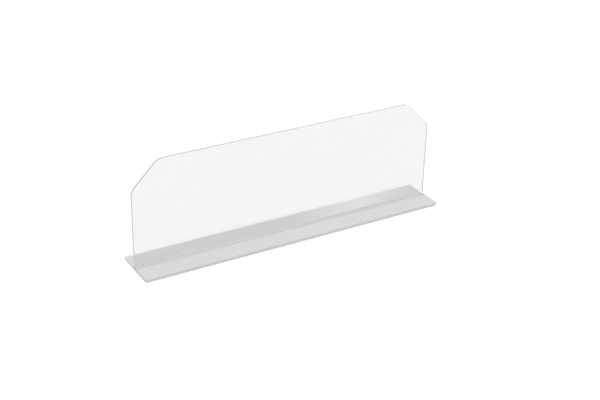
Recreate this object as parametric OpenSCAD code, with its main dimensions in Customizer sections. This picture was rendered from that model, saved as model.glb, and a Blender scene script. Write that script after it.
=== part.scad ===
// Free-standing counter sneeze guard.
// A clear sheet is heat-bent into an L. Its flange lies on the rear half of a steel base plate,
// and a front bar of the same height covers the front half. The bar stops short of the bend, and a
// bead of sealant fills the channel between the two. Six rubber feet carry the base.
// +X runs along the length, -Y is the customer's side, +Z is up, and the origin is on the counter.

/* [Overall] */
// Length of the guard from end to end
guard_l = 914.4; // [700:0.1:1200]
// Height from the counter to the panel's top edge
guard_h = 304.8; // [220:0.1:450]
// Depth of the base from front to back
base_d = 139.7; // [130:0.1:200]
// Radius of the base's corners in plan
corner_r = 6; // [2:1:12]

/* [Panel] */
// Thickness of the clear sheet
panel_t = 6; // [4.5:0.1:8]
// Inside radius of the heat bend between panel and flange
bend_r = 3; // [2:0.5:8]
// Length of the 45 degree clip along each side of an upper corner
clip = 76.2; // [40:0.1:100]
// Radius that blends each end of a clip into the edges
clip_blend_r = 36; // [10:1:45]
// Distance from the base's front edge to the panel's front face
panel_setback = 71; // [60:0.1:80]
// Width of the channel between the front bar and the panel's front face
channel_w = 10; // [3:0.1:20]

/* [Base] */
// Thickness of the steel base plate
plate_t = 2; // [2:0.1:3]
// Thickness of the bonding film under the flange
film_t = 0.4; // [0.3:0.1:0.8]
// Distance the film stops short of the flange's ends and back
film_inset = 1.5; // [1:0.5:4]
// Depth of the sealant's top below the deck
bead_drop = 0.4; // [0.3:0.1:1.5]
// Distance the sealant stops short of the base's ends
bead_inset = 0.4; // [0.2:0.1:2]
// Radius along the front bar's upper front edge
bar_edge_r = 1.2; // [0.5:0.1:2]

/* [Feet] */
// Diameter of a rubber foot
foot_dia = 19; // [12:1:25]
// Thickness of a rubber foot
foot_t = 1.6; // [1.6:0.1:3]
// Distance from the base's ends to the centres of the end feet
foot_inset_x = 24; // [18:1:60]
// Distance from the base's front and back edges to the feet's centres
foot_inset_y = 20; // [16:1:24]

/* [Screws] */
// Number of screws that hold the front bar down
screw_count = 6; // [4:1:10]
// Diameter of a screw's thread
screw_dia = 3; // [3:0.5:4]
// Diameter of a screw's countersunk head
screw_head_dia = 5.6; // [5.5:0.1:6]

/* [Hidden] */
$fn = 64;
half_l = guard_l / 2;
half_d = base_d / 2;
plate_top = foot_t + plate_t;
flange_z = plate_top + film_t;
deck_z = flange_z + panel_t;
panel_y = panel_setback - half_d;
bend_outer_r = bend_r + panel_t;
bend_y = panel_y + bend_outer_r;
bend_z = flange_z + bend_outer_r;
bar_back_y = panel_y - channel_w;
screw_y = (bar_back_y - half_d) / 2;
screw_pitch = guard_l / screw_count;
screw_head_h = 1.3;
screw_bite = 4;
thread_gap = 0.02;
head_gap = 0.1;
socket_width = 2;
socket_depth = 0.8;
foot_chamfer = 0.4;
foot_x = half_l - foot_inset_x;
foot_y = half_d - foot_inset_y;
past = 1;

// A rectangle with true arcs at its corners, centred on the origin
module rounded_rectangle(w, d, r) {
    square([w - 2 * r, d], center = true);
    square([w, d - 2 * r], center = true);
    for (sx = [-1, 1], sy = [-1, 1])
        translate([sx * (w / 2 - r), sy * (d / 2 - r)])
            circle(r);
}

// The base's outline in plan, as a prism from z = low to z = high
module base_prism(low, high, inset = 0) {
    translate([0, 0, low])
        linear_extrude(high - low)
            rounded_rectangle(guard_l - 2 * inset, base_d - 2 * inset, corner_r);
}

// Carries a cross-section drawn in Y and Z along the length
module along_length(length = guard_l + 2 * past) {
    rotate([90, 0, 90])
        linear_extrude(length, center = true)
            children();
}

// The sheet's cross-section: upright, quarter bend and flange
module bent_section() {
    translate([panel_y, bend_z])
        square([panel_t, guard_h - bend_z]);
    translate([bend_y, flange_z])
        square([half_d - bend_y, panel_t]);
    translate([bend_y, bend_z])
        intersection() {
            difference() {
                circle(bend_outer_r);
                circle(bend_r);
            }
            translate([-bend_outer_r, -bend_outer_r])
                square(bend_outer_r);
        }
}

// The panel's outline from the front, with a blended 45 degree clip at each upper corner
module clipped_outline() {
    tangent = clip_blend_r * tan(22.5);
    diagonal = tangent * cos(45);
    side = [
        [half_l, 0],
        [half_l, guard_h - clip - tangent],
        [half_l - diagonal, guard_h - clip + diagonal],
        [half_l - clip + diagonal, guard_h - diagonal],
        [half_l - clip - tangent, guard_h]
    ];
    polygon(concat(side, [for (i = [len(side) - 1:-1:0]) [-side[i][0], side[i][1]]]));
    for (s = [-1, 1]) {
        translate([s * (half_l - clip_blend_r), guard_h - clip - tangent])
            circle(clip_blend_r);
        translate([s * (half_l - clip - tangent), guard_h - clip_blend_r])
            circle(clip_blend_r);
    }
}

module guard_panel() {
    color([0.93, 0.95, 0.95, 0.35])
        intersection() {
            along_length()
                bent_section();
            rotate([90, 0, 0])
                linear_extrude(base_d + 2 * past, center = true)
                    clipped_outline();
            base_prism(0, guard_h + past);
        }
}

module bonding_film() {
    color([0.76, 0.77, 0.77])
        intersection() {
            base_prism(plate_top, flange_z, film_inset);
            translate([-half_l, bend_y, 0])
                cube([guard_l, half_d - bend_y, deck_z]);
        }
}

// Fills the channel from the front bar's back to the outside of the bend
module sealant_bead() {
    color([0.72, 0.72, 0.72])
        along_length(guard_l - 2 * bead_inset)
            difference() {
                translate([bar_back_y, plate_top])
                    square([bend_y - bar_back_y, deck_z - bead_drop - plate_top]);
                translate([bend_y, bend_z])
                    circle(bend_outer_r);
            }
}

// Puts a copy at each screw, all in one row under the front bar
module at_screws() {
    for (i = [0:screw_count - 1])
        translate([(i + 0.5) * screw_pitch - half_l, screw_y, foot_t])
            children();
}

module base_plate() {
    color([0.78, 0.78, 0.78])
        difference() {
            base_prism(foot_t, plate_top);
            at_screws() {
                translate([0, 0, -past])
                    cylinder(h = plate_t + 2 * past, d = screw_dia + 2 * head_gap);
                cylinder(
                    h = screw_head_h,
                    d1 = screw_head_dia + 2 * head_gap,
                    d2 = screw_dia + 2 * head_gap
                );
            }
        }
}

// The front bar's cross-section: a flat bar with a rounded upper front edge
module bar_section() {
    difference() {
        translate([-half_d, plate_top])
            square([bar_back_y + half_d, deck_z - plate_top]);
        translate([bar_edge_r - half_d, deck_z - bar_edge_r])
            difference() {
                translate([-bar_edge_r - past, 0])
                    square([bar_edge_r + past, bar_edge_r + past]);
                circle(bar_edge_r);
            }
    }
}

module front_bar() {
    color([0.85, 0.85, 0.85])
        difference() {
            intersection() {
                along_length()
                    bar_section();
                base_prism(0, deck_z);
            }
            at_screws()
                translate([0, 0, plate_t - past])
                    cylinder(h = screw_bite + past, d = screw_dia + 2 * thread_gap);
        }
}

module front_bar_screws() {
    color([0.6, 0.6, 0.62])
        at_screws()
            difference() {
                union() {
                    cylinder(h = screw_head_h, d1 = screw_head_dia, d2 = screw_dia);
                    cylinder(h = plate_t + screw_bite - head_gap, d = screw_dia);
                }
                translate([0, 0, -past])
                    cylinder(h = socket_depth + past, d = socket_width / cos(30), $fn = 6);
            }
}

// One self-adhesive foot; sx and sy are -1, 0 or 1 along the length and the depth
module rubber_foot(sx, sy) {
    color([0.2, 0.2, 0.2])
        translate([sx * foot_x, sy * foot_y, 0]) {
            cylinder(h = foot_chamfer, d1 = foot_dia - 2 * foot_chamfer, d2 = foot_dia);
            translate([0, 0, foot_chamfer])
                cylinder(h = foot_t - foot_chamfer, d = foot_dia);
        }
}

guard_panel();
bonding_film();
sealant_bead();
base_plate();
front_bar();
front_bar_screws();
rubber_foot(-1, -1);  // rubber_foot_front_left
rubber_foot(0, -1);  // rubber_foot_front_middle
rubber_foot(1, -1);  // rubber_foot_front_right
rubber_foot(-1, 1);  // rubber_foot_rear_left
rubber_foot(0, 1);  // rubber_foot_rear_middle
rubber_foot(1, 1);  // rubber_foot_rear_right
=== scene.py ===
"""Counter sneeze guard: finished surfaces, materials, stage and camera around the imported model."""

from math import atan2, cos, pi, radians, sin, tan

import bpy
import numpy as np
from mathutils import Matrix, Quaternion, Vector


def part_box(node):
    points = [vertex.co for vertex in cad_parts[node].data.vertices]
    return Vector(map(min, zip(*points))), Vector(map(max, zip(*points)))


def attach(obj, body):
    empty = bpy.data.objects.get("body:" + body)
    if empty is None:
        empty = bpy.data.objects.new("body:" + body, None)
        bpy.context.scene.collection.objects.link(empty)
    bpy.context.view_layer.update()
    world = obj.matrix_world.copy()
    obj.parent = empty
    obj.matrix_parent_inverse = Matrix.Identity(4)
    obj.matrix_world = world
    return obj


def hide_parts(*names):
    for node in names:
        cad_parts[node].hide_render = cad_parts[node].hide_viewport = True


bl_info = {
    "name": "Counter sneeze guard",
    "version": (1, 0, 0),
    "blender": (4, 5, 0),
    "location": "View3D > Sidebar > Sneeze guard",
    "description": "Builds a clear bent counter guard on its weighted base, piece by piece",
    "category": "Object",
}

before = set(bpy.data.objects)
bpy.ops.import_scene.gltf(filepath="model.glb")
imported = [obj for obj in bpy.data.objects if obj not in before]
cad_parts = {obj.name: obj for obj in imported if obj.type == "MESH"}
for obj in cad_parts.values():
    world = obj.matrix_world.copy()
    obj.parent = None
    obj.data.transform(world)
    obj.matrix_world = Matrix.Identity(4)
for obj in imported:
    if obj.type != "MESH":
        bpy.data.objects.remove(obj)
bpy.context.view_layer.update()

BODY = "root"
MM = 0.001
FEET = [name for name in sorted(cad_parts) if name.startswith("rubber_foot")]

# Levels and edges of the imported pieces, in metres
PANEL_LOW, PANEL_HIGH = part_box("guard_panel")
BAR_LOW, BAR_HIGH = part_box("front_bar")
PLATE_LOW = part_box("base_plate")[0]
FILM_LOW, FILM_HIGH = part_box("bonding_film")
BEAD_LOW, BEAD_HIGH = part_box("sealant_bead")
HALF_LENGTH = PANEL_HIGH.x
LENGTH = 2 * HALF_LENGTH

# Steps along each kind of curve
CORNER_STEPS = 10
EDGE_STEPS = 5
BEND_STEPS = 32
CLIP_STEPS = 14
BEAD_STEPS = 12
BEAD_END_STEPS = 4
TURNED_STEPS = 48

# Points along a foot's curves, and sections along the bead
FOOT_POINTS = 9
BEAD_STATIONS = 25

# Radius in plan of the corners that lie within the base's depth
INNER_CORNER = 1 * MM
# Rounding at the two ends of the sealant
BEAD_END = 0.15 * MM
# Share of a foot's radius that its dimple takes, and the share where the first ring lies
DIMPLE_SHARE = 0.62
FIRST_RING = 0.04

# Acrylic, and how far above the flange's underside the painted light on the flange, the bend and
# their edges starts and ends to fade out
ACRYLIC_IOR = 1.49
EDGE_CLEARNESS = 0.12
# Pale colour painted on the edges of the flange and the bend where they are seen from inside: a
# painted glow
PAINTED_INNER_GLOW = (0.92, 0.92, 0.92, 1.0)
PAINTED_LIGHT_FADE_START = 9 * MM
PAINTED_LIGHT_FADE_END = 12 * MM

# Half the side of the floor, in metres
FLOOR_HALF = 20.0


# ---------------------------------------------------------------- surfaces


def arc_of(centre_x, centre_u, radius, start, stop, steps):
    """An arc in a sheet's flat plane: the centre plus the radius times each point's direction.

    Returns the rows x, u, normal x, normal u, with the angles in degrees from the x axis."""
    angle = np.radians(np.linspace(start, stop, steps + 1))
    out_x, out_u = np.cos(angle), np.sin(angle)
    return np.stack([centre_x + radius * out_x, centre_u + radius * out_u, out_x, out_u])


def side_of(x, heights):
    """A straight right-hand side: points at the same x and the given heights, facing +x."""
    heights = np.asarray(heights, float)
    ones = np.ones_like(heights)
    return np.stack([x * ones, heights, ones, 0 * ones])


def plan_outline(half_width, low, high, low_radius, high_radius, steps=CORNER_STEPS):
    """The right half of a rectangle with rounded corners: an arc, a straight side and an arc."""
    return np.hstack([
        arc_of(half_width - low_radius, low + low_radius, low_radius, -90, 0, steps),
        arc_of(half_width - high_radius, high - high_radius, high_radius, 0, 90, steps),
    ])


def rounded_edge(low, high, low_radius, high_radius, steps=EDGE_STEPS):
    """The profile round a sheet's edge, from its lower face to its upper face.

    A quarter circle leaves each face tangentially, and the edge is straight between the two.
    Returns the rows inset, height, outward share of the normal, upward share of the normal."""
    lower = np.radians(np.linspace(-90, 0, steps + 1))
    upper = np.radians(np.linspace(0, 90, steps + 1))
    return np.hstack([
        [low_radius * (1 - np.cos(lower)), low + low_radius * (1 + np.sin(lower)),
         np.cos(lower), np.sin(lower)],
        [high_radius * (1 - np.cos(upper)), high - high_radius * (1 - np.sin(upper)),
         np.cos(upper), np.sin(upper)],
    ])


def ring_bands(rings, around):
    """The quads between neighbouring rings of points, where each ring closes on itself."""
    ring, step = np.meshgrid(np.arange(rings - 1), np.arange(around), indexing="ij")
    after = (step + 1) % around
    return np.stack([
        ring * around + step, ring * around + after,
        (ring + 1) * around + after, (ring + 1) * around + step,
    ], -1).reshape(-1, 4)


def lie_flat(x, u, w, along):
    """Leaves a sheet flat: u runs along Y and w along Z."""
    return np.stack([x, u, w], -1)


def sheet_surface(outline, profile, place=lie_flat):
    """A sheet as one closed surface with two parameters.

    The outline's right half is mirrored into a closed loop. Every point of the loop moves inwards
    along its normal by the profile's inset and to the profile's height. The two faces are ladders
    of long quads between the loop's right and left points. place carries flat points, and flat
    directions where along is the points' own u, into space."""
    x, u, normal_x, normal_u = np.hstack([outline, (outline * [[-1], [1], [-1], [1]])[:, ::-1]])
    inset, height, outward, upward = profile[:, :, None]
    flat_x = x - normal_x * inset
    flat_u = u - normal_u * inset
    flat_w = height + 0 * x
    points = place(flat_x, flat_u, flat_w, None)
    normals = place(outward * normal_x, outward * normal_u, upward + 0 * x, flat_u)

    rings, around = flat_x.shape
    band = ring_bands(rings, around)
    right = np.arange(around // 2 - 1)
    left = around - 1 - right
    rungs = np.stack([right, right + 1, left - 1, left], -1)
    faces = np.vstack([band, rungs[:, ::-1], rungs + (rings - 1) * around])
    on_edge = np.arange(len(faces)) < len(band)
    return points.reshape(-1, 3), normals.reshape(-1, 3), faces.tolist(), on_edge


def turned_surface(radius, height, normal_r, normal_z, centre, around=TURNED_STEPS):
    """A turned piece: the profile's radius and height are carried round a vertical axis.

    The first and last rings are closed by flat faces."""
    angle = np.linspace(0, 2 * pi, around, endpoint=False)
    ring_r, ring_z = radius[:, None], height[:, None]
    points = np.stack([
        centre[0] + ring_r * np.cos(angle), centre[1] + ring_r * np.sin(angle), ring_z + 0 * angle,
    ], -1)
    normals = np.stack([
        normal_r[:, None] * np.cos(angle), normal_r[:, None] * np.sin(angle),
        normal_z[:, None] + 0 * angle,
    ], -1)
    band = ring_bands(len(radius), around)
    last = (len(radius) - 1) * around
    ends = [list(range(around))[::-1], list(range(last, last + around))]
    return points.reshape(-1, 3), normals.reshape(-1, 3), band.tolist() + ends


def make_piece(name, points, normals, faces, materials, slots=None):
    """Puts a computed surface into a mesh, with the exact normals of its formula."""
    mesh = bpy.data.meshes.new(name)
    mesh.from_pydata(points.tolist(), [], faces)
    for material in materials:
        mesh.materials.append(material)
    if slots is not None:
        mesh.polygons.foreach_set("material_index", np.asarray(slots, np.int32))
    mesh.polygons.foreach_set("use_smooth", np.ones(len(mesh.polygons), bool))
    mesh.normals_split_custom_set_from_vertices(normals.tolist())
    mesh.validate(clean_customdata=False)
    piece = bpy.data.objects.new(name, mesh)
    bpy.context.scene.collection.objects.link(piece)
    return piece


def fit_piece(piece, slot, *nodes):
    """Lets a finished piece stand for its CAD nodes and ride on the guard's one body."""
    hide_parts(*nodes)
    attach(piece, BODY)


# ---------------------------------------------------------------- shader building


def add_node(tree, kind, inputs=None, **settings):
    """A node with its settings made and its inputs set to values or linked to sockets."""
    node = tree.nodes.new(kind)
    for key, value in settings.items():
        setattr(node, key, value)
    for key, value in (inputs or {}).items():
        if isinstance(value, bpy.types.NodeSocket):
            tree.links.new(value, node.inputs[key])
        else:
            node.inputs[key].default_value = value
    return node


def connect(tree, shader, values):
    """Links each named input of a shader to the socket that gives its value."""
    for key, value in values.items():
        tree.links.new(value, shader.inputs[key])


def object_place(tree):
    """The place of each point in the object's own coordinates, in metres."""
    return add_node(tree, "ShaderNodeTexCoord").outputs["Object"]


def opaque(colour):
    """A colour with full alpha."""
    return tuple(colour) + (1.0,)


def maths(tree, operation, first, second=0.0):
    """The result of one Math node."""
    return add_node(tree, "ShaderNodeMath", {0: first, 1: second}, operation=operation).outputs[0]


def spread(tree, value, low, high, to_low, to_high):
    """The value carried from the range low..high to to_low..to_high, and held at its ends."""
    return add_node(tree, "ShaderNodeMapRange", {
        "Value": value, "From Min": low, "From Max": high, "To Min": to_low, "To Max": to_high,
    }).outputs["Result"]


def blend_colour(tree, factor, first, second):
    """The first colour turning into the second as the factor goes from 0 to 1."""
    node = add_node(tree, "ShaderNodeMix", {"Factor": factor}, data_type="RGBA")
    for socket, value in ((node.inputs[6], first), (node.inputs[7], second)):
        if isinstance(value, bpy.types.NodeSocket):
            tree.links.new(value, socket)
        else:
            socket.default_value = value
    return node.outputs[2]


def new_group(name, inputs, outputs):
    """An empty shader group with named inputs (name: default) and outputs (name: socket type)."""
    group = bpy.data.node_groups.new(name, "ShaderNodeTree")
    for key, value in inputs.items():
        socket = group.interface.new_socket(key, in_out="INPUT", socket_type="NodeSocketFloat")
        socket.default_value = value
    for key, kind in outputs.items():
        group.interface.new_socket(key, in_out="OUTPUT", socket_type=kind)
    return group, add_node(group, "NodeGroupInput"), add_node(group, "NodeGroupOutput")


def place_group(tree, group, **inputs):
    """A placed copy of a shared group, with this material's own values."""
    return add_node(tree, "ShaderNodeGroup", {
        key.replace("_", " "): value for key, value in inputs.items()
    }, node_tree=group)


def powder_group():
    """Powder coat: a fine pebbled grain with wider soft waves, and a slow drift of tone."""
    name = "powder_coat_grain"
    if name in bpy.data.node_groups:
        return bpy.data.node_groups[name]
    group, given, result = new_group(
        name,
        {"Grain Size": 0.0009, "Depth": 0.00002, "Drift Size": 0.06},
        {"Tone": "NodeSocketFloat", "Grain": "NodeSocketFloat", "Normal": "NodeSocketVector"},
    )
    place = object_place(group)
    fine = add_node(group, "ShaderNodeTexNoise", {
        "Vector": place, "Scale": maths(group, "DIVIDE", 1.0, given.outputs["Grain Size"]),
        "Detail": 2.0, "Roughness": 0.45,
    }).outputs["Fac"]
    wave = add_node(group, "ShaderNodeTexNoise", {
        "Vector": place,
        "Scale": maths(group, "DIVIDE", 0.22, given.outputs["Grain Size"]), "Detail": 1.0,
    }).outputs["Fac"]
    drift = add_node(group, "ShaderNodeTexNoise", {
        "Vector": place, "Scale": maths(group, "DIVIDE", 1.0, given.outputs["Drift Size"]),
        "Detail": 3.0, "Roughness": 0.6,
    }).outputs["Fac"]
    height = maths(group, "ADD", fine, maths(group, "MULTIPLY", wave, 1.6))
    normal = add_node(group, "ShaderNodeBump", {
        "Height": height, "Distance": given.outputs["Depth"], "Strength": 1.0,
    }).outputs["Normal"]
    group.links.new(drift, result.inputs["Tone"])
    group.links.new(fine, result.inputs["Grain"])
    group.links.new(normal, result.inputs["Normal"])
    return group


def dust_group():
    """Settled dust: sparse specks gathered in soft patches."""
    name = "settled_dust"
    if name in bpy.data.node_groups:
        return bpy.data.node_groups[name]
    group, given, result = new_group(
        name, {"Speck Size": 0.0007, "Amount": 0.2}, {"Mask": "NodeSocketFloat"},
    )
    place = object_place(group)
    specks = add_node(group, "ShaderNodeTexVoronoi", {
        "Vector": place, "Scale": maths(group, "DIVIDE", 0.25, given.outputs["Speck Size"]),
        "Randomness": 1.0,
    }).outputs["Distance"]
    patches = add_node(group, "ShaderNodeTexNoise", {
        "Vector": place, "Scale": 21.0, "Detail": 4.0, "Roughness": 0.62,
    }).outputs["Fac"]
    near = spread(group, specks, 0.04, 0.13, 1.0, 0.0)
    gathered = spread(group, patches, 0.45, 0.75, 0.0, 1.0)
    settled = maths(group, "MULTIPLY", near, gathered)
    mask = maths(group, "MULTIPLY", settled, given.outputs["Amount"])
    group.links.new(mask, result.inputs["Mask"])
    return group


def wipe_group():
    """Wiping marks: hair-fine lines in two crossing directions, broken up into short strokes."""
    name = "wiping_marks"
    if name in bpy.data.node_groups:
        return bpy.data.node_groups[name]
    group, given, result = new_group(
        name, {"Line Spacing": 0.0016, "Amount": 0.5}, {"Mask": "NodeSocketFloat"},
    )
    place = object_place(group)
    strokes = []
    for turn, stretch in ((11.0, 0.035), (-19.0, 0.05)):
        turned = add_node(group, "ShaderNodeMapping", {
            "Vector": place, "Rotation": (radians(turn), radians(turn), radians(turn)),
            "Scale": (stretch, 1.0, 1.0),
        }).outputs["Vector"]
        lines = add_node(group, "ShaderNodeTexNoise", {
            "Vector": turned, "Detail": 2.0,
            "Scale": maths(group, "DIVIDE", 1.0, given.outputs["Line Spacing"]),
        }).outputs["Fac"]
        strokes.append(spread(group, lines, 0.66, 0.74, 0.0, 1.0))
    both = maths(group, "MAXIMUM", *strokes)
    group.links.new(maths(group, "MULTIPLY", both, given.outputs["Amount"]), result.inputs["Mask"])
    return group


def new_material(name, colour):
    """A material with an empty node tree, a Principled shader and its output."""
    material = bpy.data.materials.new(name)
    material.use_nodes = True
    material.diffuse_color = colour
    tree = material.node_tree
    tree.nodes.clear()
    shader = add_node(tree, "ShaderNodeBsdfPrincipled")
    output = add_node(tree, "ShaderNodeOutputMaterial")
    tree.links.new(shader.outputs["BSDF"], output.inputs["Surface"])
    return material, tree, shader


def pass_soft_light(tree, shader, passing):
    """Lets the light that falls on other pieces go straight through a clear face, a little dimmed.

    The camera and clear reflections still see the sheet's own refraction."""
    path = add_node(tree, "ShaderNodeLightPath").outputs
    straight = add_node(tree, "ShaderNodeBsdfTransparent", {"Color": opaque((passing,) * 3)})
    mixed = shader.outputs["BSDF"]
    for kind in ("Is Shadow Ray", "Is Diffuse Ray"):
        mixed = add_node(tree, "ShaderNodeMixShader", {
            0: path[kind], 1: mixed, 2: straight.outputs["BSDF"],
        }).outputs["Shader"]
    output = next(node for node in tree.nodes if node.bl_idname == "ShaderNodeOutputMaterial")
    tree.links.new(mixed, output.inputs["Surface"])


def shaded(colour, factor):
    """A colour made lighter or darker, with its alpha kept."""
    return tuple(min(1.0, channel * factor) for channel in colour[:3]) + (1.0,)


# ---------------------------------------------------------------- materials


def above_bend(tree, place):
    """A mask that is 0 over the flange and the bend, and rises to 1 on the upright; it places the
    painted light on the flange, the bend and their edges.
    """
    height = add_node(tree, "ShaderNodeSeparateXYZ", {"Vector": place}).outputs["Z"]
    return spread(tree, height, PANEL_LOW.z + PAINTED_LIGHT_FADE_START, PANEL_LOW.z + PAINTED_LIGHT_FADE_END, 0.0, 1.0)


def clear_acrylic(props):
    """Clear cast acrylic: a faintly smoky tint, painted paler over the flange and the bend as
    painted light, wiping marks in the gloss and a little dust.
    """
    colour = opaque(props.tint)
    material, tree, shader = new_material("clear_acrylic", colour)
    marks = place_group(tree, wipe_group(), Line_Spacing=0.0016, Amount=0.5).outputs["Mask"]
    dust = place_group(tree, dust_group(), Speck_Size=0.0006, Amount=0.5).outputs["Mask"]
    place = object_place(tree)
    waves = add_node(tree, "ShaderNodeTexNoise", {"Vector": place, "Scale": 9.0, "Detail": 1.0})
    soiled = maths(tree, "MAXIMUM", maths(tree, "MULTIPLY", marks, 0.35), dust)
    # Painted light: the flange and the bend get a paler tint than the upright, so what is seen
    # through them reads lighter
    foot = opaque(props.foot_painted_light_tint)
    toned = blend_colour(tree, above_bend(tree, place), foot, colour)
    values = {
        "Base Color": blend_colour(tree, dust, toned, shaded(colour, 0.9)),
        "Roughness": spread(tree, soiled, 0.0, 1.0, props.gloss_roughness, 0.16),
        "Normal": add_node(tree, "ShaderNodeBump", {
            "Height": waves.outputs["Fac"], "Distance": 0.00004, "Strength": 1.0,
        }).outputs["Normal"],
    }
    connect(tree, shader, values)
    shader.inputs["IOR"].default_value = ACRYLIC_IOR
    shader.inputs["Transmission Weight"].default_value = 1.0
    pass_soft_light(tree, shader, props.passing)
    return material


def acrylic_edge(name, colour, props):
    """An acrylic edge as it is seen along the sheet: nearly solid in tone, with fine saw lines.

    Over the flange and the bend, where it is seen from inside the sheet, it is painted a pale
    colour: painted light, as if light from above gathered in the edge."""
    colour = opaque(colour)
    material, tree, shader = new_material(name, colour)
    place = object_place(tree)
    saw = add_node(tree, "ShaderNodeTexNoise", {
        "Vector": add_node(tree, "ShaderNodeMapping", {
            "Vector": place, "Scale": (1.0, 0.05, 1.0),
        }).outputs["Vector"],
        "Scale": 1400.0, "Detail": 2.0,
    }).outputs["Fac"]
    inside = add_node(tree, "ShaderNodeNewGeometry").outputs["Backfacing"]
    low = maths(tree, "SUBTRACT", 1.0, above_bend(tree, place))
    sawn = blend_colour(tree, saw, shaded(colour, 0.88), shaded(colour, 1.1))
    values = {
        # Painted light: seen from inside and low down, the edge turns to the pale painted glow
        "Base Color": blend_colour(
            tree, maths(tree, "MULTIPLY", inside, low), sawn, PAINTED_INNER_GLOW,
        ),
        "Roughness": spread(tree, saw, 0.3, 0.7, 0.16, 0.32),
        "Normal": add_node(tree, "ShaderNodeBump", {
            "Height": saw, "Distance": 0.00002, "Strength": 1.0,
        }).outputs["Normal"],
    }
    connect(tree, shader, values)
    shader.inputs["IOR"].default_value = ACRYLIC_IOR
    shader.inputs["Transmission Weight"].default_value = EDGE_CLEARNESS
    pass_soft_light(tree, shader, props.passing)
    return material


def powder_coat(name, colour, roughness, grain_size, depth, dust_amount):
    """Powder-coated steel: pebbled grain, a slow drift of tone and a little settled dust."""
    colour = opaque(colour)
    material, tree, shader = new_material(name, colour)
    coat = place_group(
        tree, powder_group(), Grain_Size=grain_size, Depth=depth, Drift_Size=0.09,
    ).outputs
    dust = place_group(tree, dust_group(), Speck_Size=0.0005, Amount=dust_amount).outputs["Mask"]
    tone = spread(tree, coat["Tone"], 0.3, 0.7, 0.0, 1.0)
    toned = blend_colour(tree, tone, shaded(colour, 0.985), shaded(colour, 1.015))
    grained = blend_colour(
        tree, spread(tree, coat["Grain"], 0.3, 0.7, 0.22, 0.0), toned, shaded(colour, 0.9),
    )
    values = {
        "Base Color": blend_colour(tree, dust, grained, shaded(colour, 1.12)),
        "Roughness": spread(tree, coat["Grain"], 0.3, 0.7, roughness - 0.05, roughness + 0.07),
        "Normal": coat["Normal"],
    }
    connect(tree, shader, values)
    return material


def bonding_material(props):
    """The bonding film: a smooth grey sheet with a slight mottle and a few trapped bubbles."""
    colour = opaque(props.film_colour)
    material, tree, shader = new_material("bonding_film", colour)
    place = object_place(tree)
    mottle = add_node(tree, "ShaderNodeTexNoise", {"Vector": place, "Scale": 48.0, "Detail": 3.0})
    bubbles = add_node(tree, "ShaderNodeTexVoronoi", {"Vector": place, "Scale": 34.0})
    ring = spread(tree, bubbles.outputs["Distance"], 0.016, 0.03, 1.0, 0.0)
    toned = blend_colour(tree, mottle.outputs["Fac"], shaded(colour, 0.985), shaded(colour, 1.015))
    connect(tree, shader, {
        "Base Color": blend_colour(
            tree, maths(tree, "MULTIPLY", ring, 0.3), toned, shaded(colour, 1.1),
        ),
        "Roughness": spread(tree, mottle.outputs["Fac"], 0.3, 0.7, 0.5, 0.62),
    })
    return material


def sealant_material(props):
    """Grey sealant: a matte skin with a soft ripple along it and a little dust."""
    colour = opaque(props.bead_colour)
    material, tree, shader = new_material("grey_sealant", colour)
    place = object_place(tree)
    stretched = add_node(tree, "ShaderNodeMapping", {
        "Vector": place, "Scale": (0.25, 1.0, 1.0),
    }).outputs["Vector"]
    ripple = add_node(tree, "ShaderNodeTexNoise", {
        "Vector": stretched, "Scale": 60.0, "Detail": 2.0,
    }).outputs["Fac"]
    dust = place_group(tree, dust_group(), Speck_Size=0.0005, Amount=0.3).outputs["Mask"]
    toned = blend_colour(tree, ripple, shaded(colour, 0.98), shaded(colour, 1.02))
    values = {
        "Base Color": blend_colour(tree, dust, toned, shaded(colour, 1.1)),
        "Roughness": spread(tree, ripple, 0.3, 0.7, 0.6, 0.75),
        "Normal": add_node(tree, "ShaderNodeBump", {
            "Height": ripple, "Distance": 0.0002, "Strength": 0.6,
        }).outputs["Normal"],
    }
    connect(tree, shader, values)
    return material


def zinc_material():
    """Bright zinc on the screws: a cool metal with a faint mottle and turned lines."""
    colour = (0.56, 0.58, 0.6, 1.0)
    material, tree, shader = new_material("zinc_plate", colour)
    place = object_place(tree)
    mottle = add_node(tree, "ShaderNodeTexNoise", {"Vector": place, "Scale": 900.0, "Detail": 3.0})
    value = mottle.outputs["Fac"]
    connect(tree, shader, {
        "Base Color": blend_colour(tree, value, shaded(colour, 0.85), (0.66, 0.65, 0.6, 1.0)),
        "Roughness": spread(tree, value, 0.3, 0.7, 0.22, 0.4),
    })
    shader.inputs["Metallic"].default_value = 1.0
    return material


def rubber_material(props):
    """Matte black rubber: a fine moulded grain, greyed where dust sticks to it."""
    colour = opaque(props.rubber_colour)
    material, tree, shader = new_material("foot_rubber", colour)
    coat = place_group(
        tree, powder_group(), Grain_Size=0.0003, Depth=0.00001, Drift_Size=0.01,
    ).outputs
    dust = place_group(tree, dust_group(), Speck_Size=0.0003, Amount=0.7).outputs["Mask"]
    values = {
        "Base Color": blend_colour(tree, dust, colour, (0.16, 0.155, 0.15, 1.0)),
        "Roughness": spread(tree, coat["Grain"], 0.3, 0.7, 0.72, 0.9),
        "Normal": coat["Normal"],
    }
    connect(tree, shader, values)
    return material


# ---------------------------------------------------------------- what a user would change


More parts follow.
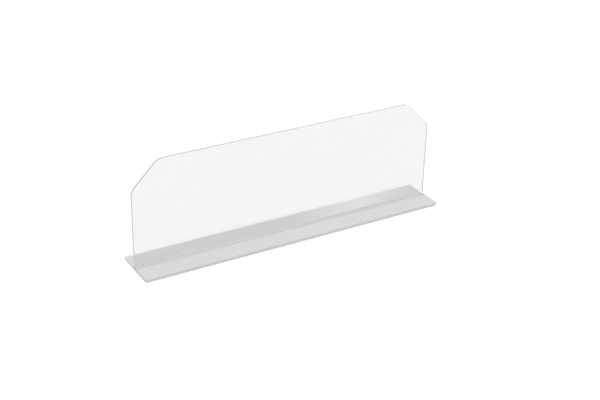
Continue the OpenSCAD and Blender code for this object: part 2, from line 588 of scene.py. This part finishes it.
class GuardPanelProps(bpy.types.PropertyGroup):
    """Sizes and tints of the bent clear sheet"""

    thickness: bpy.props.FloatProperty(
        name="Thickness", description="Thickness of the clear sheet",
        default=BAR_HIGH.z - PANEL_LOW.z, min=0.002, unit="LENGTH", subtype="DISTANCE",
    )
    bend_radius: bpy.props.FloatProperty(
        name="Bend radius", description="Inside radius of the heat bend",
        default=3 * MM, min=0.001, unit="LENGTH", subtype="DISTANCE",
    )
    clip: bpy.props.FloatProperty(
        name="Corner clip", description="Length of the 45 degree clip along each side",
        default=76.2 * MM, min=0.01, unit="LENGTH", subtype="DISTANCE",
    )
    clip_blend: bpy.props.FloatProperty(
        name="Clip blend", description="Radius at each end of a clip",
        default=36 * MM, min=0.001, unit="LENGTH", subtype="DISTANCE",
    )
    flange_corner: bpy.props.FloatProperty(
        name="Flange corner", description="Corner radius at the back of the flange",
        default=6 * MM, min=0.001, unit="LENGTH", subtype="DISTANCE",
    )
    edge_radius: bpy.props.FloatProperty(
        name="Edge radius", description="Rounding where a face meets the sheet's edge",
        default=0.6 * MM, min=0.0001, unit="LENGTH", subtype="DISTANCE",
    )
    gloss_roughness: bpy.props.FloatProperty(
        name="Gloss roughness",
        description="Roughness of the clean faces",
        default=0.02, min=0, max=1,
    )
    passing: bpy.props.FloatProperty(
        name="Passing light", description="Share of soft light that each face lets through",
        default=0.97, min=0, max=1,
    )
    tint: bpy.props.FloatVectorProperty(
        name="Tint", description="Colour that light takes on through the sheet",
        default=(0.883, 0.883, 0.883), min=0, max=1, subtype="COLOR",
    )
    # Painted light: a paler tint over the bend and the flange, which lightens what is seen through
    # them
    foot_painted_light_tint: bpy.props.FloatVectorProperty(
        name="Foot tint",
        description="Tint over the bend and the flange, which light crosses more than once",
        default=(0.985, 0.985, 0.985), min=0, max=1, subtype="COLOR",
    )
    edge_tint: bpy.props.FloatVectorProperty(
        name="Edge tint", description="Colour of the sheet's edges",
        default=(0.5, 0.505, 0.505), min=0, max=1, subtype="COLOR",
    )
    # Painted light: the flange's back edge is painted lighter than the other edges, as if light from
    # behind shone through it
    back_edge_painted_light_tint: bpy.props.FloatVectorProperty(
        name="Back edge tint", description="Colour of the flange's sawn back edge",
        default=(0.8, 0.81, 0.81), min=0, max=1, subtype="COLOR",
    )


class GuardBaseProps(bpy.types.PropertyGroup):
    """Roundings and colours of the base's layers"""

    corner_radius: bpy.props.FloatProperty(
        name="Corner radius", description="Radius of the base's corners in plan",
        default=6 * MM, min=0.001, unit="LENGTH", subtype="DISTANCE",
    )
    bar_edge: bpy.props.FloatProperty(
        name="Bar edge", description="Rounding along the front bar's upper edges",
        default=1.2 * MM, min=0.0001, unit="LENGTH", subtype="DISTANCE",
    )
    low_edge: bpy.props.FloatProperty(
        name="Lower edge", description="Rounding along the lower edges",
        default=0.4 * MM, min=0.0001, unit="LENGTH", subtype="DISTANCE",
    )
    bond_depth: bpy.props.FloatProperty(
        name="Bond depth",
        description="How far the film wets into the flange, so that no air shows",
        default=0.05 * MM, min=0, unit="LENGTH", subtype="DISTANCE",
    )
    bar_colour: bpy.props.FloatVectorProperty(
        name="Bar colour", description="Powder coat on the front bar",
        default=(0.518, 0.518, 0.518), min=0, max=1, subtype="COLOR",
    )
    plate_colour: bpy.props.FloatVectorProperty(
        name="Plate colour", description="Powder coat on the base plate",
        default=(0.52, 0.52, 0.52), min=0, max=1, subtype="COLOR",
    )
    film_colour: bpy.props.FloatVectorProperty(
        name="Film colour", description="Colour of the bonding film",
        default=(0.492, 0.492, 0.492), min=0, max=1, subtype="COLOR",
    )
    bead_colour: bpy.props.FloatVectorProperty(
        name="Sealant colour", description="Colour of the sealant bead",
        default=(0.462, 0.462, 0.462), min=0, max=1, subtype="COLOR",
    )
    bead_sag: bpy.props.FloatProperty(
        name="Sealant hollow", description="Depth of the hollow along the top of the sealant",
        default=0.3 * MM, min=0, unit="LENGTH", subtype="DISTANCE",
    )
    rubber_colour: bpy.props.FloatVectorProperty(
        name="Rubber colour", description="Colour of the feet",
        default=(0.018, 0.018, 0.018), min=0, max=1, subtype="COLOR",
    )
    foot_edge: bpy.props.FloatProperty(
        name="Foot edge", description="Rounding at a foot's lower rim",
        default=0.5 * MM, min=0.0001, unit="LENGTH", subtype="DISTANCE",
    )
    foot_dimple: bpy.props.FloatProperty(
        name="Foot dimple", description="Depth of the suction dimple under a foot",
        default=0.3 * MM, min=0, unit="LENGTH", subtype="DISTANCE",
    )


class GuardStageProps(bpy.types.PropertyGroup):
    """Camera, floor and studio light"""

    azimuth: bpy.props.FloatProperty(
        name="Camera azimuth",
        description="How far the camera stands round to the left of the front",
        default=radians(31.229), unit="ROTATION", subtype="ANGLE",
    )
    elevation: bpy.props.FloatProperty(
        name="Camera elevation", description="How far the camera looks down",
        default=radians(27.044), unit="ROTATION", subtype="ANGLE",
    )
    roll: bpy.props.FloatProperty(
        name="Camera roll",
        description="How far the camera is turned about its own line of sight",
        default=radians(1.362), unit="ROTATION", subtype="ANGLE",
    )
    distance: bpy.props.FloatProperty(
        name="Camera distance", description="From the camera to the point that it aims at",
        default=3.616 * LENGTH, min=0.1, unit="LENGTH", subtype="DISTANCE",
    )
    lens: bpy.props.FloatProperty(
        name="Lens",
        description="Focal length in millimetres on a 36 mm sensor",
        default=73.069, min=10,
    )
    aim: bpy.props.FloatVectorProperty(
        name="Aim", description="The point that the camera aims at",
        default=(0.02257 * LENGTH, PLATE_LOW.y + 0.047 * LENGTH, BAR_HIGH.z + 0.10288 * LENGTH),
        unit="LENGTH", subtype="XYZ",
    )
    sky_horizon: bpy.props.FloatProperty(
        name="Horizon light",
        description="Brightness of the surround at the horizon",
        default=0.93, min=0,
    )
    sky_top: bpy.props.FloatProperty(
        name="Overhead light",
        description="Brightness of the surround overhead",
        default=1.56, min=0,
    )
    strip_azimuth: bpy.props.FloatProperty(
        name="Strip azimuth", description="Where the tall strip light stands, from +Y towards +X",
        default=radians(34.05), unit="ROTATION", subtype="ANGLE",
    )
    strip_width: bpy.props.FloatProperty(
        name="Strip width",
        description="Angle over which the strip light fades away to each side",
        default=radians(2.0), unit="ROTATION", subtype="ANGLE",
    )
    strip_light: bpy.props.FloatProperty(
        name="Strip light",
        description="Brightness of the strip light's middle",
        default=1.45, min=0,
    )
    floor_glow: bpy.props.FloatProperty(
        name="Floor glow",
        description="Share of the floor's white that comes from within",
        default=0.8,
        min=0, max=1,
    )
    floor_white: bpy.props.FloatProperty(
        name="Floor white", description="Brightness that the floor reaches", default=1.035, min=0,
    )


# ---------------------------------------------------------------- one operator for each piece


class GUARD_OT_panel(bpy.types.Operator):
    """Cuts, rounds and bends the clear sheet"""

    bl_idname = "guard.panel"
    bl_label = "Guard panel"

    def execute(self, context):
        props = context.scene.guard_panel
        half_t = props.thickness / 2
        mid_radius = props.bend_radius + half_t
        bend_y = PANEL_LOW.y + props.bend_radius + props.thickness
        bend_z = PANEL_LOW.z + props.bend_radius + props.thickness
        flange = PANEL_HIGH.y - bend_y
        turn = mid_radius * pi / 2
        flat_length = flange + turn + PANEL_HIGH.z - bend_z

        def bend(x, u, w, along):
            """Carries the flat sheet round the bend, at its true length along the middle plane.

            u runs from the flange's back edge forwards, round a quarter turn and up; w points out
            of the bend. Directions turn with the sheet at the place that along gives."""
            turned = np.clip(((u if along is None else along) - flange) / mid_radius, 0, pi / 2)
            if along is not None:
                return np.stack([
                    x, -u * np.cos(turned) - w * np.sin(turned),
                    u * np.sin(turned) - w * np.cos(turned),
                ], -1)
            before = np.minimum(u - flange, 0)
            after = np.maximum(u - flange - turn, 0)
            return np.stack([
                x, bend_y - before - (mid_radius + w) * np.sin(turned),
                bend_z + after - (mid_radius + w) * np.cos(turned),
            ], -1)

        blend, clip, corner = props.clip_blend, props.clip, props.flange_corner
        tangent = blend * tan(pi / 8)
        outline = np.hstack([
            arc_of(HALF_LENGTH - corner, corner, corner, -90, 0, CORNER_STEPS),
            side_of(HALF_LENGTH, np.linspace(flange, flange + turn, BEND_STEPS + 1)),
            arc_of(HALF_LENGTH - blend, flat_length - clip - tangent, blend, 0, 45, CLIP_STEPS),
            arc_of(HALF_LENGTH - clip - tangent, flat_length - blend, blend, 45, 90, CLIP_STEPS),
        ])
        edge = rounded_edge(-half_t, half_t, props.edge_radius, props.edge_radius)
        points, normals, faces, on_edge = sheet_surface(outline, edge, bend)
        behind = points[np.asarray(faces), 1].min(axis=1) > PANEL_HIGH.y - MM
        materials = [
            clear_acrylic(props),
            acrylic_edge("acrylic_edge", props.edge_tint, props),
            acrylic_edge("back_edge_painted_light", props.back_edge_painted_light_tint, props),
        ]
        # Slot 0 is a face, 1 an edge and 2 the edge at the flange's back, which is painted lighter
        # as painted light
        slots = on_edge * (1 + behind)
        piece = make_piece("clear_panel", points, normals, faces, materials, slots)
        fit_piece(piece, "clear_acrylic", "guard_panel")
        return {"FINISHED"}


class GUARD_OT_film(bpy.types.Operator):
    """Lays the bonding film under the flange"""

    bl_idname = "guard.film"
    bl_label = "Bonding film"

    def execute(self, context):
        props = context.scene.guard_base
        corner = props.corner_radius - (HALF_LENGTH - FILM_HIGH.x)
        outline = plan_outline(FILM_HIGH.x, FILM_LOW.y, FILM_HIGH.y, INNER_CORNER, corner)
        wetted = FILM_HIGH.z + props.bond_depth
        edge = rounded_edge(FILM_LOW.z, wetted, props.bond_depth, props.bond_depth)
        points, normals, faces, _ = sheet_surface(outline, edge)
        piece = make_piece("flange_film", points, normals, faces, [bonding_material(props)])
        fit_piece(piece, "bonding_film", "bonding_film")
        return {"FINISHED"}


class GUARD_OT_bead(bpy.types.Operator):
    """Smooths the sealant bead along the foot of the panel"""

    bl_idname = "guard.bead"
    bl_label = "Sealant bead"

    def execute(self, context):
        props = context.scene.guard_base
        panel = context.scene.guard_panel
        surface = bead_surface(panel.bend_radius + panel.thickness, props)
        piece = make_piece("channel_sealant", *surface, [sealant_material(props)])
        fit_piece(piece, "grey_sealant", "sealant_bead")
        return {"FINISHED"}


def bead_surface(outer, props):
    """A bead between the bar's back and the outside of the bend, with a shallow hollow on top.

    The section runs forwards along the bottom, up the front, back across the hollow and down the
    bend. The hollow's depth is the sag times a sine wave's first half. The bend's side is a circle
    about the bend's axis, smaller by the bond depth, so that no air shows. Every section is moved
    inwards near the ends by a quarter circle."""
    bond = props.bond_depth
    end = BEAD_END
    axis_y, axis_z = PANEL_LOW.y + outer, PANEL_LOW.z + outer
    radius = outer - bond
    top, low = BEAD_HIGH.z, BEAD_LOW.z
    corner_y = axis_y - np.sqrt(radius**2 - (axis_z - top) ** 2)
    across = np.linspace(0, 1, BEAD_STEPS + 1)
    hollow_y = BEAD_LOW.y + across * (corner_y - BEAD_LOW.y)
    hollow_z = top - props.bead_sag * np.sin(pi * across)
    slope = -props.bead_sag * pi / (corner_y - BEAD_LOW.y) * np.cos(pi * across)
    start = atan2(corner_y - axis_y, axis_z - top)
    sweep = np.linspace(start, 0, BEAD_STEPS + 1)
    bend_y, bend_z = axis_y + radius * np.sin(sweep), axis_z - radius * np.cos(sweep)
    zero, one = np.zeros(2), np.ones(2)
    section = np.hstack([
        [[axis_y, BEAD_LOW.y], [low, low], zero, -one],
        [[BEAD_LOW.y, BEAD_LOW.y], [low, top], -one, zero],
        [hollow_y, hollow_z, -slope, 1 + 0 * slope],
        [bend_y, bend_z, -np.sin(sweep), np.cos(sweep)],
        [[axis_y, axis_y], [bend_z[-1], low], one, zero],
    ])
    y, z, normal_y, normal_z = section
    length = np.hypot(normal_y, normal_z)
    normal_y, normal_z = normal_y / length, normal_z / length
    turn = np.radians(np.linspace(0, 90, BEAD_END_STEPS + 1))
    middle = np.linspace(BEAD_LOW.x + end, BEAD_HIGH.x - end, BEAD_STATIONS)[1:-1]
    share_x = np.hstack([-np.sin(turn[::-1]), 0 * middle, np.sin(turn)])[:, None]
    share = np.sqrt(1 - share_x**2)
    stations = np.hstack([
        BEAD_LOW.x + end * (1 - np.sin(turn[::-1])), middle, BEAD_HIGH.x - end * (1 - np.sin(turn)),
    ])[:, None]
    inset = end * (1 - share)
    points = np.stack([stations + 0 * y, y - normal_y * inset, z - normal_z * inset], -1)
    normals = np.stack([share_x + 0 * y, normal_y * share, normal_z * share], -1)
    rows, around = points.shape[:2]
    band = ring_bands(rows, around)[:, [0, 3, 2, 1]]
    last = (rows - 1) * around
    ends = [list(range(around)), list(range(last, last + around))[::-1]]
    return points.reshape(-1, 3), normals.reshape(-1, 3), band.tolist() + ends


class GUARD_OT_bar(bpy.types.Operator):
    """Makes the powder-coated front bar"""

    bl_idname = "guard.bar"
    bl_label = "Front bar"

    def execute(self, context):
        props = context.scene.guard_base
        outline = plan_outline(
            BAR_HIGH.x, BAR_LOW.y, BAR_HIGH.y, props.corner_radius, INNER_CORNER,
        )
        edge = rounded_edge(BAR_LOW.z, BAR_HIGH.z, props.low_edge, props.bar_edge)
        points, normals, faces, _ = sheet_surface(outline, edge)
        paint = powder_coat(
            "bar_powder_coat", props.bar_colour, roughness=0.62, grain_size=0.0009, depth=0.00003,
            dust_amount=0.35,
        )
        piece = make_piece("front_bar_painted", points, normals, faces, [paint])
        fit_piece(piece, "bar_paint", "front_bar")
        return {"FINISHED"}


class GUARD_OT_plate(bpy.types.Operator):
    """Paints the base plate, which keeps its drilled CAD shape"""

    bl_idname = "guard.plate"
    bl_label = "Base plate"

    def execute(self, context):
        colour = context.scene.guard_base.plate_colour
        paint = powder_coat(
            "plate_powder_coat", colour, roughness=0.5, grain_size=0.0012, depth=0.00003,
            dust_amount=0.2,
        )
        give_material("base_plate", paint)
        return {"FINISHED"}


class GUARD_OT_screws(bpy.types.Operator):
    """Plates the countersunk screws, which keep their CAD shape"""

    bl_idname = "guard.screws"
    bl_label = "Screws"

    def execute(self, context):
        give_material("front_bar_screws", zinc_material())
        return {"FINISHED"}


class GUARD_OT_feet(bpy.types.Operator):
    """Turns the six rubber feet"""

    bl_idname = "guard.feet"
    bl_label = "Rubber feet"

    def execute(self, context):
        props = context.scene.guard_base
        rubber = rubber_material(props)
        for node in FEET:
            low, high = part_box(node)
            centre = (low + high) / 2
            surface = foot_surface(centre, (high.x - low.x) / 2, low.z, high.z, props)
            piece = make_piece(node + "_turned", *surface, [rubber])
            fit_piece(piece, "foot_rubber", node)
        return {"FINISHED"}


def foot_surface(centre, radius, low, high, props):
    """A low round foot: a shallow dimple below, a flat rim, and rounded lower and upper edges.

    The dimple's depth falls off as half a cosine wave from the centre to its rim."""
    dimple_r = radius * DIMPLE_SHARE
    across = np.linspace(FIRST_RING, 1.0, FOOT_POINTS)
    dimple = props.foot_dimple
    slope = dimple * pi / 2 / dimple_r * np.sin(pi * across)
    lean = 1 / np.sqrt(1 + slope**2)
    turn = np.linspace(0, pi / 2, FOOT_POINTS)
    edge, top_edge = props.foot_edge, props.foot_edge / 2
    r = np.hstack([
        dimple_r * across, radius - edge + edge * np.sin(turn),
        radius - top_edge + top_edge * np.cos(turn),
    ])
    z = np.hstack([
        low + dimple * (1 + np.cos(pi * across)) / 2, low + edge - edge * np.cos(turn),
        high - top_edge + top_edge * np.sin(turn),
    ])
    normal_r = np.hstack([-slope * lean, np.sin(turn), np.cos(turn)])
    normal_z = np.hstack([-lean, -np.cos(turn), np.sin(turn)])
    return turned_surface(r, z, normal_r, normal_z, centre)


def give_material(node, material):
    """Puts a material in every slot of a CAD node that stays as it is."""
    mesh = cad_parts[node].data
    if not mesh.materials:
        mesh.materials.append(material)
    for index in range(len(mesh.materials)):
        mesh.materials[index] = material


# ---------------------------------------------------------------- stage


def make_floor(props):
    """A wide pale floor whose white is partly its own glow, so that it stays even."""
    steps = np.linspace(-FLOOR_HALF, FLOOR_HALF, 3)
    x, y = np.meshgrid(steps, steps)
    points = np.stack([x, y, 0 * x], -1).reshape(-1, 3)
    corner = np.array([0, 1, 3, 4])[:, None]
    faces = np.hstack([corner, corner + 1, corner + 4, corner + 3])
    material, tree, shader = new_material("pale_floor", (0.9, 0.9, 0.9, 1.0))
    place = object_place(tree)
    drift = add_node(tree, "ShaderNodeTexNoise", {"Vector": place, "Scale": 0.8, "Detail": 1.0})
    # A level floor sees the surround's brightness two thirds of the way from horizon to top
    lit = props.sky_horizon + (props.sky_top - props.sky_horizon) * 2 / 3
    white = (1 - props.floor_glow) * props.floor_white / lit
    whites = (opaque((white,) * 3), shaded((white,) * 3, 0.995))
    connect(tree, shader, {"Base Color": blend_colour(tree, drift.outputs["Fac"], *whites)})
    shader.inputs["Roughness"].default_value = 1.0
    shader.inputs["Specular IOR Level"].default_value = 0.0
    shader.inputs["Emission Color"].default_value = (1.0, 1.0, 1.0, 1.0)
    shader.inputs["Emission Strength"].default_value = props.floor_glow * props.floor_white
    upwards = np.tile([0.0, 0.0, 1.0], (len(points), 1))
    floor = make_piece("floor", points, upwards, faces.tolist(), [material])


def make_surround(props):
    """Soft light from all round: brighter overhead than at the horizon, with one tall soft strip.

    The brightness rises with the sine of the height above the horizon. The strip fades to each
    side as a bell curve of the angle round the vertical."""
    world = bpy.data.worlds.new("soft_studio")
    bpy.context.scene.world = world
    world.use_nodes = True
    tree = world.node_tree
    tree.nodes.clear()
    towards = add_node(tree, "ShaderNodeTexCoord").outputs["Generated"]
    axes = add_node(tree, "ShaderNodeSeparateXYZ", {"Vector": towards}).outputs
    sky = spread(tree, axes["Z"], 0.0, 1.0, props.sky_horizon, props.sky_top)
    turn = maths(tree, "ARCTAN2", axes["X"], axes["Y"])
    off_middle = maths(tree, "SUBTRACT", turn, props.strip_azimuth)
    away = maths(tree, "DIVIDE", off_middle, props.strip_width)
    squared = maths(tree, "MULTIPLY", away, away)
    bell = maths(tree, "EXPONENT", maths(tree, "MULTIPLY", squared, -1.0))
    tall = maths(
        tree, "MULTIPLY",
        spread(tree, axes["Z"], 0.1, 0.2, 0.0, 1.0), spread(tree, axes["Z"], 0.75, 0.9, 1.0, 0.0),
    )
    strip = maths(tree, "MULTIPLY", maths(tree, "MULTIPLY", bell, tall), props.strip_light)
    light = add_node(tree, "ShaderNodeBackground", {
        "Color": (1.0, 1.0, 1.0, 1.0), "Strength": maths(tree, "ADD", sky, strip),
    })
    output = add_node(tree, "ShaderNodeOutputWorld")
    tree.links.new(light.outputs["Background"], output.inputs["Surface"])


def make_camera(props):
    """A camera that looks at its aim point from the given azimuth, elevation and distance.

    The roll turns it about its own line of sight."""
    a, e = props.azimuth, props.elevation
    back = Vector((-sin(a) * cos(e), -cos(a) * cos(e), sin(e)))
    data = bpy.data.cameras.new("camera")
    data.lens = props.lens
    data.sensor_width = 36.0
    data.clip_start, data.clip_end = 0.05, 100.0
    camera = bpy.data.objects.new("camera", data)
    camera.location = Vector(props.aim) + back * props.distance
    camera.rotation_mode = "QUATERNION"
    level = (-back).to_track_quat("-Z", "Y")
    camera.rotation_quaternion = level @ Quaternion((0.0, 0.0, 1.0), props.roll)
    bpy.context.scene.collection.objects.link(camera)
    bpy.context.scene.camera = camera


class GUARD_OT_stage(bpy.types.Operator):
    """Sets the floor, the soft light and the camera"""

    bl_idname = "guard.stage"
    bl_label = "Stage"

    def execute(self, context):
        props = context.scene.guard_stage
        make_camera(props)
        make_floor(props)
        make_surround(props)
        context.scene.view_settings.view_transform = "Standard"
        return {"FINISHED"}


class GUARD_PT_sidebar(bpy.types.Panel):
    """Lists the guard's pieces and their values"""

    bl_idname = "GUARD_PT_sidebar"
    bl_label = "Sneeze guard"
    bl_space_type = "VIEW_3D"
    bl_region_type = "UI"
    bl_category = "Sneeze guard"

    def draw(self, context):
        for operator in OPERATORS:
            self.layout.operator(operator.bl_idname)
        for group in PROPERTY_GROUPS:
            box = self.layout.box()
            values = getattr(context.scene, group)
            for key in values.bl_rna.properties.keys():
                if key not in ("rna_type", "name"):
                    box.prop(values, key)


OPERATORS = (
    GUARD_OT_stage, GUARD_OT_panel, GUARD_OT_film, GUARD_OT_bead, GUARD_OT_bar, GUARD_OT_plate,
    GUARD_OT_screws, GUARD_OT_feet,
)
PROPERTY_GROUPS = {
    "guard_panel": GuardPanelProps, "guard_base": GuardBaseProps, "guard_stage": GuardStageProps,
}


def register():
    for group in PROPERTY_GROUPS.values():
        bpy.utils.register_class(group)
    for key, group in PROPERTY_GROUPS.items():
        setattr(bpy.types.Scene, key, bpy.props.PointerProperty(type=group))
    for operator in OPERATORS:
        bpy.utils.register_class(operator)
    bpy.utils.register_class(GUARD_PT_sidebar)


def unregister():
    bpy.utils.unregister_class(GUARD_PT_sidebar)
    for operator in reversed(OPERATORS):
        bpy.utils.unregister_class(operator)
    for key, group in PROPERTY_GROUPS.items():
        delattr(bpy.types.Scene, key)
        bpy.utils.unregister_class(group)


def main():
    register()
    bpy.ops.guard.stage()
    bpy.ops.guard.panel()
    bpy.ops.guard.film()
    bpy.ops.guard.bead()
    bpy.ops.guard.bar()
    bpy.ops.guard.plate()
    bpy.ops.guard.screws()
    bpy.ops.guard.feet()


if __name__ == "__main__":
    main()
